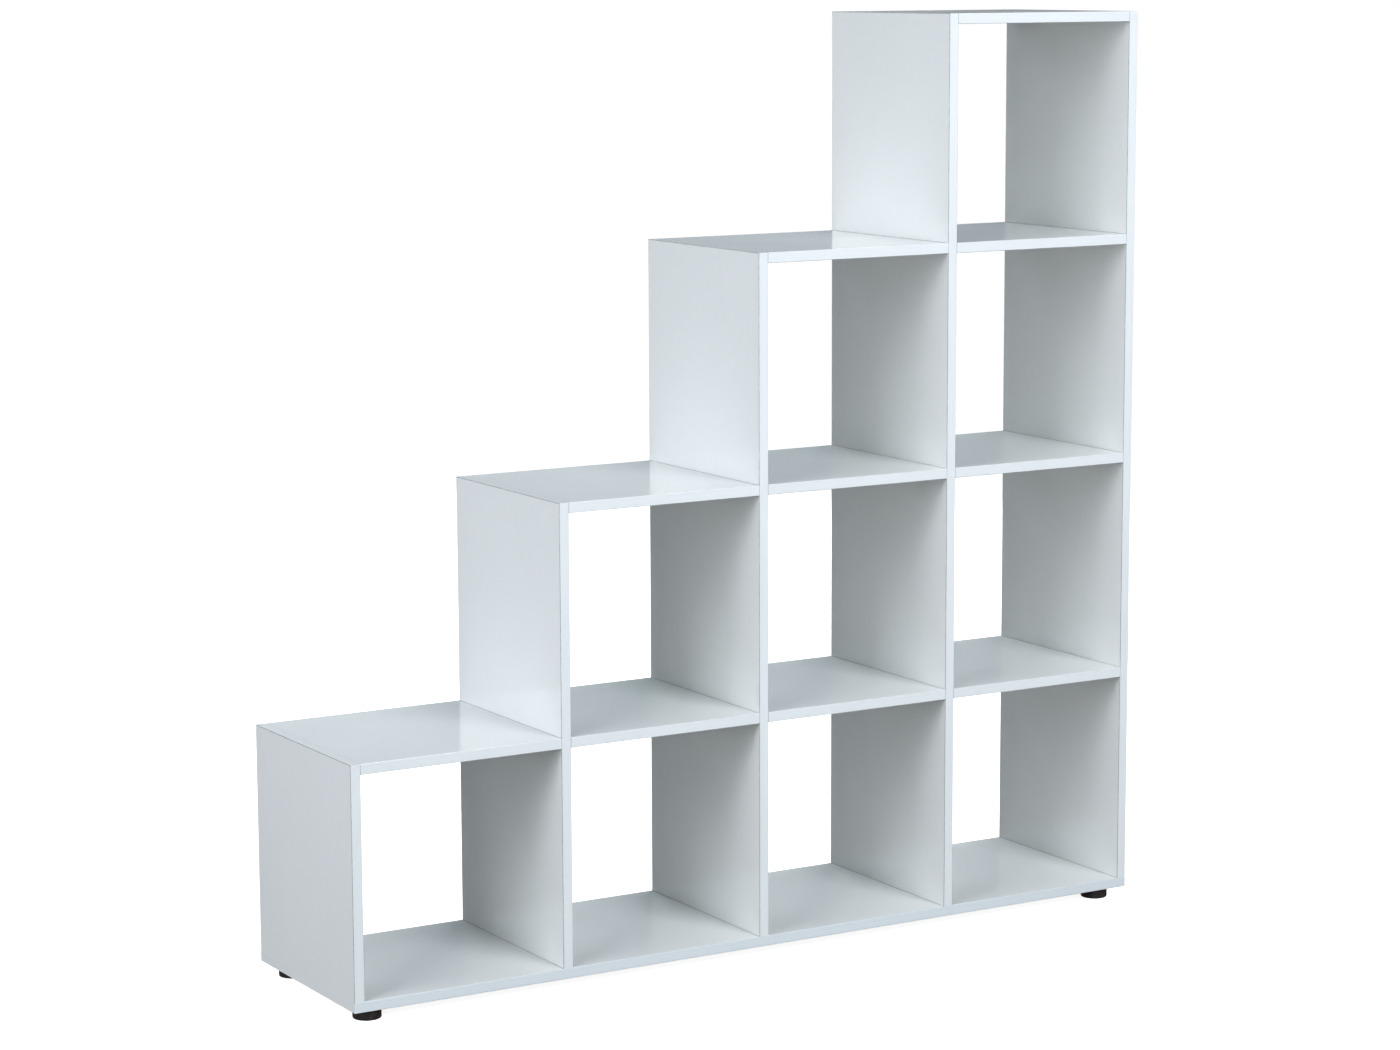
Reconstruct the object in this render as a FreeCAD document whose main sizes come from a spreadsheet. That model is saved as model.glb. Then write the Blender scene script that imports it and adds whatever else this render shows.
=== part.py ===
import FreeCAD, Part
import math
import os
import types

import Sketcher

# Staircase bookshelf of edge-banded board: four columns of one, two, three and four open bays
# on one base panel and four glide feet. Cam locks and dowels hold the shelves between the
# uprights, and countersunk screws and dowels hold the uprights on the base panel.
# Frame: +Z up, front towards -Y, origin on the floor under the middle of the outline.

STEPS = 4  # columns from left to right, and bays in the tallest column

# Driving dimensions in millimetres
SIZES = {
    # Carcass of boards
    "bay_width": 326.25,
    "bay_height": 333.5,
    "depth": 330,
    "board": 16,
    # Edge bands
    "band": 1,
    # Glide feet
    "foot_height": 19,
    "foot_diameter": 42.5,
    "foot_lip_diameter": 45,
    "foot_lip_height": 2.5,
    "foot_edge_radius": 2,
    "foot_inset": 36,
    "foot_recess_diameter": 10,
    "foot_recess_depth": 13,
    # Screws that hold the feet
    "foot_screw_length": 18,
    "foot_screw_diameter": 3.5,
    "foot_screw_head_diameter": 8,
    "foot_screw_head_height": 2.5,
    # Cam locks in the undersides of the shelves
    "cam_diameter": 15,
    "cam_reach": 4.5,
    "cam_setback": 24,
    "cam_inset": 69,
    "cam_cross_length": 9,
    "cam_cross_width": 2,
    "cam_cross_depth": 2,
    # Cam bolts
    "bolt_thread_diameter": 5,
    "bolt_thread_length": 11,
    "bolt_shank_diameter": 6.8,
    "bolt_neck_diameter": 4.4,
    "bolt_head_diameter": 7,
    "bolt_head_length": 3,
    "bolt_head_chamfer": 0.8,
    "bolt_grip": 3.6,
    # Wooden dowels
    "dowel_diameter": 8,
    "dowel_length": 30,
    "dowel_seat": 11,
    "dowel_chamfer": 1,
    "dowel_inset": 101,
    # Screws that hold the uprights on the base panel
    "screw_length": 50,
    "screw_head_diameter": 10,
    "screw_shank_diameter": 7,
    "screw_core_diameter": 5,
    "screw_tip_length": 4,
    "screw_socket_width": 4,
    "screw_socket_depth": 3,
    "screw_inset": 69,
    # Fits
    "fit_play": 0.1,
    "bore_slack": 0.5,
}

BAND_RADIUS_SHARE = 0.8  # rounding of a band's arrises, as a share of its thickness
SCREW_TIP_SHARE = 0.5  # diameter of a screw's blunt tip, as a share of its core
CAM_SLIT_DEGREES = 200  # sweep of the slit that a bolt's neck runs in
COUNTERSINK_DEGREES = 90

doc = FreeCAD.newDocument("staircase_bookshelf")
pieces = []


class Formula:
    """A length worked out from the sheet: its expression text and its present value."""

    def __init__(self, text, value):
        self.text = text
        self.value = value

    def __add__(self, other):
        other = as_formula(other)
        return Formula(f"({self.text} + {other.text})", self.value + other.value)

    def __sub__(self, other):
        other = as_formula(other)
        return Formula(f"({self.text} - {other.text})", self.value - other.value)

    def __mul__(self, factor):
        return Formula(f"({self.text} * {factor})", self.value * factor)

    def __truediv__(self, divisor):
        return Formula(f"({self.text} / {divisor})", self.value / divisor)

    def __neg__(self):
        return Formula(f"(0 - {self.text})", -self.value)


def as_formula(length):
    """A formula as it is, or zero as a formula."""
    return length if isinstance(length, Formula) else Formula(str(length), length)


def hypotenuse(one, other):
    """The long side of a right triangle with these two short sides."""
    return Formula(f"hypot({one.text}; {other.text})", math.hypot(one.value, other.value))


def fill_sheet():
    """Write the driving dimensions to the document's sheet and give back their formulas."""
    sheet = doc.addObject("Spreadsheet::Sheet", "Sizes")
    for row, (name, value) in enumerate(SIZES.items(), 1):
        sheet.set(f"A{row}", name)
        sheet.set(f"B{row}", str(value))
        sheet.setAlias(f"B{row}", name)
    doc.recompute()
    return types.SimpleNamespace(**{name: Formula(f"Sizes.{name}", value) for name, value in SIZES.items()})


size = fill_sheet()

# Sizes that follow from the driving ones
bay_pitch = size.bay_width + size.board
storey = size.bay_height + size.board
width = bay_pitch * STEPS + size.board
half_board = size.board / 2
left = -width / 2
front = -size.depth / 2
base_top = size.foot_height + size.board
band_radius = size.band * BAND_RADIUS_SHARE
cam_height = half_board + size.cam_reach
bolt_shank_length = size.cam_setback - size.cam_diameter / 2
bolt_head_start = size.cam_setback - size.bolt_grip
bolt_tip = bolt_head_start + size.bolt_head_length
dowel_reach = size.dowel_length - size.dowel_seat
foot_web = size.foot_height - size.foot_recess_depth


def from_both_edges(inset):
    """Places of one bore near the front edge and one near the rear edge."""
    return (inset, size.depth - inset)


def bore(diameter):
    """Bore that takes a turned piece of this diameter."""
    return diameter + size.fit_play * 2


def bind(owner, target, formula):
    """Tie a property or a sketch constraint to the sheet."""
    owner.setExpression(target, formula.text)


def place(piece, x, y, z):
    """Tie a piece's place in the part's frame to the sheet."""
    for axis, formula in (("x", x), ("y", y), ("z", z)):
        bind(piece, f"Placement.Base.{axis}", as_formula(formula))


def keep(piece):
    """Add a finished piece to those that are handed in."""
    pieces.append(piece)
    return piece


def collect(label, members):
    """Separate solids handed in as one piece."""
    piece = doc.addObject("Part::Compound", label)
    piece.Label = label
    piece.Links = members
    return keep(piece)


def new_body(label):
    """An empty body with its own label."""
    body = doc.addObject("PartDesign::Body", label)
    body.Label = label
    return body


def new_sketch(body, role, height=0):
    """A sketch on one of the body's origin planes, or parallel to it at a height along its normal."""
    sketch = body.newObject("Sketcher::SketchObject", f"{body.Name}_sketch")
    support = next(plane for plane in body.Origin.OriginFeatures if plane.Role == role)
    sketch.AttachmentSupport = [(support, "")]
    sketch.MapMode = "FlatFace"
    if isinstance(height, Formula):
        bind(sketch, "AttachmentOffset.Base.z", height)
    return sketch


def point_of(corner):
    """The present place of a corner given by two formulas."""
    across, along = (as_formula(length).value for length in corner)
    return FreeCAD.Vector(across, along, 0)


def pin(sketch, geometry, vertex, corner):
    """Tie a point of the sketch to a corner given by two formulas."""
    axes = (("DistanceX", -2), ("DistanceY", -1))
    for (kind, zero_axis), length in zip(axes, corner):
        if isinstance(length, Formula):
            limit = Sketcher.Constraint(kind, -1, 1, geometry, vertex, length.value)
            bind(sketch, f"Constraints[{sketch.addConstraint(limit)}]", length)
        else:
            sketch.addConstraint(Sketcher.Constraint("PointOnObject", geometry, vertex, zero_axis))


def draw_polygon(sketch, corners):
    """A closed outline of straight lines through the corners."""
    ends = corners[1:] + corners[:1]
    lines = [
        sketch.addGeometry(Part.LineSegment(point_of(start), point_of(end)))
        for start, end in zip(corners, ends)
    ]
    for line, following in zip(lines, lines[1:] + lines[:1]):
        sketch.addConstraint(Sketcher.Constraint("Coincident", line, 2, following, 1))
    for line, corner in zip(lines, corners):
        pin(sketch, line, 1, corner)


def draw_rectangle(sketch, low, high):
    """A rectangle between two opposite corners."""
    (x0, y0), (x1, y1) = low, high
    draw_polygon(sketch, [(x0, y0), (x1, y0), (x1, y1), (x0, y1)])


def draw_circles(sketch, centres, diameter):
    """Equal circles round the centres."""
    for centre in centres:
        outline = Part.Circle(point_of(centre), FreeCAD.Vector(0, 0, 1), diameter.value / 2)
        circle = sketch.addGeometry(outline)
        pin(sketch, circle, 3, centre)
        limit = Sketcher.Constraint("Diameter", circle, diameter.value)
        bind(sketch, f"Constraints[{sketch.addConstraint(limit)}]", diameter)


def pad(body, sketch, length, reverse=False):
    """Thicken a sketch along its normal, or against it."""
    feature = body.newObject("PartDesign::Pad", f"{body.Name}_pad")
    feature.Profile = sketch
    feature.Reversed = reverse
    bind(feature, "Length", length)
    return feature


def drill(body, role, centres, diameter, depth=None, height=0, along_normal=False):
    """Bores of one diameter, blind or right through, against the plane's normal or along it."""
    sketch = new_sketch(body, role, height)
    draw_circles(sketch, centres, diameter)
    feature = body.newObject("PartDesign::Pocket", f"{body.Name}_bores")
    feature.Profile = sketch
    feature.Reversed = along_normal
    if depth is None:
        feature.Type = "ThroughAll"
    else:
        bind(feature, "Length", depth)
    return feature


def turn(body, role, axis, corners):
    """A turned piece: half its section, drawn on a plane, taken right round an axis of the sketch."""
    sketch = new_sketch(body, role)
    draw_polygon(sketch, corners)
    feature = body.newObject("PartDesign::Revolution", f"{body.Name}_turned")
    feature.Profile = sketch
    feature.ReferenceAxis = (sketch, [axis])
    return feature


def grid(across, along):
    """Every pair of a place across and a place along."""
    return [(x, y) for x in across for y in along]


def upright_left(index):
    """Left face of an upright, counted from zero, from the left end of the shelf."""
    return bay_pitch * index


def bays_beside(index):
    """How many bays stand to the left and to the right of an upright, counted from zero."""
    return index, index + 1 if index < STEPS else 0


def shelf_axis(row):
    """Mid-thickness of the shelf that closes a row of bays, above the base panel."""
    return storey * row - half_board


def make_base_panel():
    """Board under all uprights, drilled for their screws and dowels and for the feet."""
    body = new_body("base_panel")
    outline = new_sketch(body, "XY_Plane")
    draw_rectangle(outline, (size.band, size.band), (width - size.band, size.depth - size.band))
    pad(body, outline, size.board)
    joints = [upright_left(index) + half_board for index in range(STEPS + 1)]
    dowel_places = grid(joints, from_both_edges(size.dowel_inset))
    drill(
        body,
        "XY_Plane",
        dowel_places,
        bore(size.dowel_diameter),
        depth=size.dowel_seat + size.bore_slack,
        height=size.board,
    )
    foot_places = grid((size.foot_inset, width - size.foot_inset), from_both_edges(size.foot_inset))
    drill(
        body,
        "XY_Plane",
        foot_places,
        bore(size.foot_screw_diameter),
        depth=size.foot_screw_length - foot_web + size.bore_slack,
        along_normal=True,
    )
    countersink(body, grid(joints, from_both_edges(size.screw_inset)))
    place(body, left, front, size.foot_height)
    return keep(body)


def countersink(body, centres):
    """Through holes for the base screws, with their heads let into the underside."""
    sketch = new_sketch(body, "XY_Plane")
    draw_circles(sketch, centres, bore(size.screw_shank_diameter))
    doc.recompute()
    feature = body.newObject("PartDesign::Hole", f"{body.Name}_screw_holes")
    feature.Profile = sketch
    doc.recompute()
    feature.ThreadType = "None"
    feature.DepthType = "ThroughAll"
    feature.Reversed = True
    feature.HoleCutType = "Countersink"
    feature.HoleCutCustomValues = True
    feature.HoleCutCountersinkAngle = COUNTERSINK_DEGREES
    bind(feature, "Diameter", bore(size.screw_shank_diameter))
    bind(feature, "HoleCutDiameter", bore(size.screw_head_diameter))


def make_upright(index):
    """One upright board: through bores where shelves meet on both sides, blind ones elsewhere."""
    bays_left, bays_right = bays_beside(index)
    bays = max(bays_left, bays_right)
    shared = min(bays_left, bays_right)
    body = new_body(f"upright_{index + 1}")
    outline = new_sketch(body, "YZ_Plane")
    draw_rectangle(outline, (size.band, 0), (size.depth - size.band, storey * bays - size.band))
    pad(body, outline, size.board)

    two_sided = [shelf_axis(row) for row in range(1, shared + 1)]
    if two_sided:
        for inset, diameter in (
            (size.cam_inset, size.bolt_shank_diameter),
            (size.dowel_inset, size.dowel_diameter),
        ):
            places = grid(from_both_edges(inset), two_sided)
            drill(body, "YZ_Plane", places, bore(diameter), along_normal=True)

    one_sided = [shelf_axis(row) for row in range(shared + 1, bays + 1)]
    shelf_on_right = bays_right > bays_left
    for inset, diameter, seat in (
        (size.cam_inset, size.bolt_thread_diameter, size.bolt_thread_length),
        (size.dowel_inset, size.dowel_diameter, size.dowel_seat),
    ):
        drill(
            body,
            "YZ_Plane",
            grid(from_both_edges(inset), one_sided),
            bore(diameter),
            depth=seat + size.bore_slack,
            height=size.board if shelf_on_right else 0,
            along_normal=not shelf_on_right,
        )

    for inset, diameter, reach in (
        (size.screw_inset, size.screw_core_diameter, size.screw_length - size.board),
        (size.dowel_inset, size.dowel_diameter, dowel_reach),
    ):
        drill(
            body,
            "XY_Plane",
            grid((half_board,), from_both_edges(inset)),
            bore(diameter),
            depth=reach + size.bore_slack,
            along_normal=True,
        )
    place(body, left + upright_left(index), front, base_top)
    return keep(body)


def make_shelf(column, row):
    """One shelf board, bored from below for cam locks and at both ends for bolts and dowels."""
    body = new_body(f"shelf_col{column}_row{row}")
    outline = new_sketch(body, "XY_Plane")
    draw_rectangle(outline, (0, size.band), (size.bay_width, size.depth - size.band))
    pad(body, outline, size.board)
    cams = grid((size.cam_setback, size.bay_width - size.cam_setback), from_both_edges(size.cam_inset))
    cam_depth = cam_height + size.bore_slack
    drill(body, "XY_Plane", cams, size.cam_diameter, depth=cam_depth, along_normal=True)
    for inset, diameter, depth in (
        (size.cam_inset, size.bolt_shank_diameter, size.cam_setback),
        (size.dowel_inset, size.dowel_diameter, dowel_reach + size.bore_slack),
    ):
        places = grid(from_both_edges(inset), (half_board,))
        drill(body, "YZ_Plane", places, bore(diameter), depth=depth, along_normal=True)
        drill(body, "YZ_Plane", places, bore(diameter), depth=depth, height=size.bay_width)
    place(body, *shelf_corner(column, row))
    return keep(body)


def shelf_corner(column, row):
    """Left front lower corner of a shelf in the part's frame."""
    return (left + upright_left(column - 1) + size.board, front, base_top + storey * row - size.board)


def round_arrises(body, strip, arrises):
    """Round the outer arrises of a strip, each found by the middle of its edge."""
    doc.recompute()
    middles = [FreeCAD.Vector(*(as_formula(length).value for length in arris)) for arris in arrises]
    edges = [
        f"Edge{number}"
        for number, edge in enumerate(strip.Shape.Edges, 1)
        if any((edge.CenterOfMass - middle).Length < band_radius.value / 2 for middle in middles)
    ]
    rounded = body.newObject("PartDesign::Fillet", f"{body.Name}_arrises")
    rounded.Base = (strip, edges)
    bind(rounded, "Radius", band_radius)


def make_band(label, section, run, arrises, corner):
    """One edge band: a strip run out from its section, with two arrises rounded, at its board's corner."""
    role, low, high = section
    lies_across = role == "XZ_Plane"
    body = new_body(label)
    sketch = new_sketch(body, role, -size.band if lies_across else 0)
    draw_rectangle(sketch, low, high)
    round_arrises(body, pad(body, sketch, run, reverse=lies_across), arrises)
    place(body, *corner)
    return body


def front_and_rear():
    """Name, inner and outer limits along the depth, and outer side of a board's two long bands."""
    return (("front", 0, size.band, 0), ("rear", size.depth - size.band, size.depth, size.depth))


def make_level_bands(label, length, corner):
    """Front and rear bands of a level board."""
    bands = []
    for side, near, far, outer in front_and_rear():
        section = ("YZ_Plane", (near, 0), (far, size.board))
        arrises = [(length / 2, outer, z) for z in (0, size.board)]
        bands.append(make_band(f"{label}_{side}", section, length, arrises, corner))
    return bands


def make_upright_bands(label, height, corner):
    """Front and rear bands of an upright board."""
    bands = []
    for side, near, far, outer in front_and_rear():
        section = ("XY_Plane", (0, near), (size.board, far))
        arrises = [(x, outer, height / 2) for x in (0, size.board)]
        bands.append(make_band(f"{label}_{side}", section, height, arrises, corner))
    return bands


def make_cross_band(label, low, high, arrises, corner):
    """A band between the front band and the rear one."""
    middles = [(x, size.depth / 2, z) for x, z in arrises]
    return make_band(label, ("XZ_Plane", low, high), size.depth - size.band * 2, middles, corner)


def make_base_edging():
    """Bands on all four edges of the base panel."""
    label = "base_panel_edging"
    corner = (left, front, size.foot_height)
    bands = make_level_bands(label, width, corner)
    for side, near, far, outer in (("left", 0, size.band, 0), ("right", width - size.band, width, width)):
        arrises = [(outer, z) for z in (0, size.board)]
        bands.append(make_cross_band(f"{label}_{side}", (near, 0), (far, size.board), arrises, corner))
    return collect(label, bands)


def make_upright_edging(index):
    """Bands on the front, rear and top edges of one upright."""
    label = f"upright_{index + 1}_edging"
    corner = (left + upright_left(index), front, base_top)
    height = storey * max(bays_beside(index))
    bands = make_upright_bands(label, height, corner)
    arrises = [(x, height) for x in (0, size.board)]
    top = make_cross_band(f"{label}_top", (0, height - size.band), (size.board, height), arrises, corner)
    return collect(label, bands + [top])


def make_shelf_edging(column, row):
    """Bands on the front and rear edges of one shelf."""
    label = f"shelf_col{column}_row{row}_edging"
    return collect(label, make_level_bands(label, size.bay_width, shelf_corner(column, row)))


def make_foot(name, x, y):
    """Glide foot: a round pad with a thin lip under the board and a recess for its screw."""
    body = new_body(name)
    hole = bore(size.foot_screw_diameter) / 2
    recess = size.foot_recess_diameter / 2
    wall = size.foot_diameter / 2
    lip = size.foot_lip_diameter / 2
    lip_start = size.foot_height - size.foot_lip_height
    turned = turn(
        body,
        "XZ_Plane",
        "V_Axis",
        [
            (recess, 0),
            (wall, 0),
            (wall, lip_start),
            (lip, lip_start),
            (lip, size.foot_height),
            (hole, size.foot_height),
            (hole, size.foot_recess_depth),
            (recess, size.foot_recess_depth),
        ],
    )
    doc.recompute()
    sole_edge = max(
        (edge.BoundBox.XLength, f"Edge{number}")
        for number, edge in enumerate(turned.Shape.Edges, 1)
        if abs(edge.BoundBox.ZMax) < size.fit_play.value
    )
    rounded = body.newObject("PartDesign::Fillet", f"{name}_sole")
    rounded.Base = (turned, [sole_edge[1]])
    bind(rounded, "Radius", size.foot_edge_radius)
    place(body, x, y, 0)
    return keep(body)


def make_foot_screw():
    """Pan-head screw, head down, from the seat under its head upwards."""
    body = new_body("foot_screw")
    shank = size.foot_screw_diameter / 2
    head = size.foot_screw_head_diameter / 2
    point = size.foot_screw_length - size.foot_screw_diameter
    turn(
        body,
        "XZ_Plane",
        "V_Axis",
        [
            (0, -size.foot_screw_head_height),
            (head, -size.foot_screw_head_height),
            (head, 0),
            (shank, 0),
            (shank, point),
            (0, size.foot_screw_length),
        ],
    )
    return body


def make_dowel(name, length):
    """Dowel along X with chamfered ends, from one end."""
    body = new_body(name)
    radius = size.dowel_diameter / 2
    nose = radius - size.dowel_chamfer
    turn(
        body,
        "XY_Plane",
        "H_Axis",
        [
            (0, 0),
            (0, nose),
            (size.dowel_chamfer, radius),
            (length - size.dowel_chamfer, radius),
            (length, nose),
            (length, 0),
        ],
    )
    return body


def bolt_end(outwards):
    """Half section of a bolt from the face of an upright to the head inside the cam."""
    shank = size.bolt_shank_diameter / 2
    neck = size.bolt_neck_diameter / 2
    head = size.bolt_head_diameter / 2
    return [
        (outwards + bolt_shank_length, shank),
        (outwards + bolt_shank_length, neck),
        (outwards + bolt_head_start, neck),
        (outwards + bolt_head_start, head),
        (outwards + bolt_tip - size.bolt_head_chamfer, head),
        (outwards + bolt_tip, head - size.bolt_head_chamfer),
        (outwards + bolt_tip, 0),
    ]


def make_end_bolt():
    """Cam bolt screwed into an upright, along X from the upright's face."""
    body = new_body("end_bolt")
    core = size.bolt_thread_diameter / 2
    start = -size.bolt_thread_length
    screwed_in = [(start, 0), (start, core), (0, core), (0, size.bolt_shank_diameter / 2)]
    turn(body, "XY_Plane", "H_Axis", screwed_in + bolt_end(as_formula(0)))
    return body


def make_through_bolt():
    """Cam bolt with a head at each end, along X from the middle of the upright that it passes."""
    body = new_body("through_bolt")
    right_half = bolt_end(half_board)
    left_half = [(-x, radius) for x, radius in reversed(right_half)]
    turn(body, "XY_Plane", "H_Axis", left_half + right_half)
    return body


def make_cam():
    """Cam lock, axis up from its open face; its bolt comes in along +X through the slit."""
    body = new_body("cam_lock")
    outer = size.cam_diameter - size.fit_play * 2
    drum = new_sketch(body, "XY_Plane")
    draw_circles(drum, [(0, 0)], outer)
    pad(body, drum, cam_height)

    mouth = bore(size.bolt_head_diameter)
    head_room = bore(mouth)
    cavity = hypotenuse(size.bolt_grip, size.bolt_head_diameter / 2) + size.fit_play
    floor = half_board - head_room / 2
    drill(body, "XY_Plane", [(0, 0)], cavity * 2, depth=head_room, height=floor, along_normal=True)

    half_slit = bore(size.bolt_neck_diameter) / 2
    slit = new_sketch(body, "XZ_Plane")
    draw_rectangle(slit, (0, half_board - half_slit), (size.cam_diameter, half_board + half_slit))
    groove = body.newObject("PartDesign::Groove", "cam_lock_slit")
    groove.Profile = slit
    groove.ReferenceAxis = (slit, ["V_Axis"])
    groove.Angle = CAM_SLIT_DEGREES
    groove.Midplane = True

    drill(body, "XZ_Plane", [(0, half_board)], mouth, depth=size.cam_diameter, along_normal=True)

    for reach, breadth in (
        (size.cam_cross_length / 2, size.cam_cross_width / 2),
        (size.cam_cross_width / 2, size.cam_cross_length / 2),
    ):
        cross = new_sketch(body, "XY_Plane")
        draw_rectangle(cross, (-reach, -breadth), (reach, breadth))
        recess = body.newObject("PartDesign::Pocket", "cam_lock_cross")
        recess.Profile = cross
        recess.Reversed = True
        bind(recess, "Length", size.cam_cross_depth)
    return body


def make_base_screw():
    """Countersunk screw with a hexagon socket, up from the face of its head."""
    body = new_body("base_screw")
    head = size.screw_head_diameter / 2
    shank = size.screw_shank_diameter / 2
    core = size.screw_core_diameter / 2
    tip_start = size.screw_length - size.screw_tip_length
    turn(
        body,
        "XZ_Plane",
        "V_Axis",
        [
            (0, 0),
            (head, 0),
            (shank, head - shank),
            (shank, size.board),
            (core, size.board),
            (core, tip_start),
            (core * SCREW_TIP_SHARE, size.screw_length),
            (0, size.screw_length),
        ],
    )
    corner_radius = size.screw_socket_width / math.sqrt(3)
    angles = [math.pi / 3 * number for number in range(6)]
    corners = [(corner_radius * math.cos(angle), corner_radius * math.sin(angle)) for angle in angles]
    socket = new_sketch(body, "XY_Plane")
    draw_polygon(socket, corners)
    recess = body.newObject("PartDesign::Pocket", "base_screw_socket")
    recess.Profile = socket
    recess.Reversed = True
    bind(recess, "Length", size.screw_socket_depth)
    return body


def group(label, model, places, turn_axis=None):
    """Copies of one fastener as separate solids in one piece; each place is x, y, z and a turn in degrees."""
    copies = []
    for number, (x, y, z, degrees) in enumerate(places, 1):
        copy = doc.addObject("App::Link", f"{label}_{number}")
        copy.LinkedObject = model
        if turn_axis:
            copy.Placement = FreeCAD.Placement(FreeCAD.Vector(), FreeCAD.Rotation(turn_axis, degrees))
        place(copy, x, y, z)
        copies.append(copy)
    return collect(label, copies)


def depths(inset):
    """Front and rear places of a bore in the part's frame."""
    return [front + place_along for place_along in from_both_edges(inset)]


def make_feet():
    """Four glide feet near the corners, each with its screw."""
    columns = {"left": left + size.foot_inset, "right": left + width - size.foot_inset}
    rows = dict(zip(("front", "rear"), depths(size.foot_inset)))
    corners = [(f"foot_{row}_{column}", columns[column], rows[row]) for row in rows for column in columns]
    for name, x, y in corners:
        make_foot(name, x, y)
    group("foot_screws", make_foot_screw(), [(x, y, size.foot_recess_depth, 0) for _, x, y in corners])


def make_cams():
    """Cam locks, two at each end of every shelf, one piece for each row of shelves."""
    cam = make_cam()
    for row in range(1, STEPS + 1):
        places = []
        for column in range(row, STEPS + 1):
            x, _, z = shelf_corner(column, row)
            ends = ((x + size.cam_setback, 180), (x + size.bay_width - size.cam_setback, 0))
            places += [(end, y, z, angle) for end, angle in ends for y in depths(size.cam_inset)]
        group(f"cam_locks_row{row}", cam, places, FreeCAD.Vector(0, 0, 1))


def make_shelf_fasteners():
    """Bolts and dowels between the shelves and the uprights."""
    end_bolts, through_bolts, end_dowels, through_dowels = [], [], [], []
    for index in range(STEPS + 1):
        bays_left, bays_right = bays_beside(index)
        face = left + upright_left(index)
        for row in range(1, max(bays_left, bays_right) + 1):
            z = base_top + shelf_axis(row)
            bolts = [(y, z) for y in depths(size.cam_inset)]
            dowels = [(y, z) for y in depths(size.dowel_inset)]
            if row <= min(bays_left, bays_right):
                through_bolts += [(face + half_board, *at, 0) for at in bolts]
                through_dowels += [(face - dowel_reach, *at, 0) for at in dowels]
            elif bays_right:
                end_bolts += [(face + size.board, *at, 0) for at in bolts]
                end_dowels += [(face + size.board - size.dowel_seat, *at, 0) for at in dowels]
            else:
                end_bolts += [(face, *at, 180) for at in bolts]
                end_dowels += [(face - dowel_reach, *at, 0) for at in dowels]
    group("end_cam_bolts", make_end_bolt(), end_bolts, FreeCAD.Vector(0, 0, 1))
    group("through_cam_bolts", make_through_bolt(), through_bolts)
    group("through_dowels", make_dowel("long_dowel", size.board + dowel_reach * 2), through_dowels)
    short_dowel = make_dowel("short_dowel", size.dowel_length)
    group("end_dowels", short_dowel, end_dowels)
    return short_dowel


def make_base_fasteners(short_dowel):
    """Screws and dowels between the base panel and the uprights."""
    joints = [left + upright_left(index) + half_board for index in range(STEPS + 1)]
    dowel_start = base_top - size.dowel_seat
    dowels = [(x, y, dowel_start, -90) for x, y in grid(joints, depths(size.dowel_inset))]
    group("base_dowels", short_dowel, dowels, FreeCAD.Vector(0, 1, 0))
    screws = [(x, y, size.foot_height, 0) for x, y in grid(joints, depths(size.screw_inset))]
    group("base_screws", make_base_screw(), screws)


def make_bookshelf():
    """Every piece of the bookshelf, from the floor up."""
    make_feet()
    make_base_panel()
    make_base_edging()
    for index in range(STEPS + 1):
        make_upright(index)
        make_upright_edging(index)
    for column in range(1, STEPS + 1):
        for row in range(1, column + 1):
            make_shelf(column, row)
            make_shelf_edging(column, row)
    make_cams()
    make_base_fasteners(make_shelf_fasteners())
    doc.recompute()


def write_pieces():
    """Write each piece, once every object of the document is sound."""
    failed = [item.Label for item in doc.Objects if {"Invalid", "Error"} & set(item.State)]
    failed += [piece.Label for piece in pieces if piece.Shape.isNull() or not piece.Shape.isValid()]
    if failed:
        raise RuntimeError(f"not sound: {sorted(set(failed))}")
    os.makedirs("parts", exist_ok=True)
    for piece in pieces:
        piece.Shape.exportStep(os.path.join("parts", f"{piece.Label}.step"))
        print(f"{piece.Label}: {len(piece.Shape.Solids)} solids, {piece.Shape.Volume:.1f} mm3")


make_bookshelf()
write_pieces()
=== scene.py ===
"""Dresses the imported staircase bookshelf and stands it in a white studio, seen from its front left."""

import logging
import math
from abc import ABC, abstractmethod
from dataclasses import dataclass, field
from enum import Enum

import bmesh
import bpy
from mathutils import Matrix, Vector


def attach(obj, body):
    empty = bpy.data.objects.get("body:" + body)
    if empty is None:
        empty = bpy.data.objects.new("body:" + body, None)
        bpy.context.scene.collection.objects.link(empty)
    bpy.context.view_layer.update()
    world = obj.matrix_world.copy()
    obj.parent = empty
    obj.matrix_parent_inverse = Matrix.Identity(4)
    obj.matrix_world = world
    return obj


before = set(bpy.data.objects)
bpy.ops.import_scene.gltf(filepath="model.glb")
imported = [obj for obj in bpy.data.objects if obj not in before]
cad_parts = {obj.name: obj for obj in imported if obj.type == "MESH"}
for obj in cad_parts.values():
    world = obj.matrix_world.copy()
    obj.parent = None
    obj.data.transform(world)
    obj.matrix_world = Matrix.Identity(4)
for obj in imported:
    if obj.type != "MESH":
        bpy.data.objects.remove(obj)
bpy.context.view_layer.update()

Socket = bpy.types.NodeSocket
Point = tuple[float, float, float]
Tone = tuple[float, float, float]
Feed = Socket | float | Point
Stops = tuple[tuple[float, Tone], ...]

MM = 0.001
MICRON = 1.0e-6
BOARD_WHITE: Tone = (0.848, 0.855, 0.855)
BOARD_WHITE_LOW: Tone = (0.826, 0.834, 0.834)
PURE_WHITE: Tone = (1.0, 1.0, 1.0)

# The colour sockets of Blender's Mix node, which share their names with its other sockets
MIX_FIRST, MIX_SECOND, MIX_RESULT = 6, 7, 2

log = logging.getLogger("staircase_bookshelf")


class Axis(Enum):
    """The direction that a board is thin in, or that a strip or dowel runs along."""

    X = 0
    Y = 1
    Z = 2


class Band(Enum):
    """The kind of board that a set of edge bands is pressed on, by where its strips run."""

    SHELF = "shelf"
    UPRIGHT = "upright"
    BASE = "base"


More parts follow.
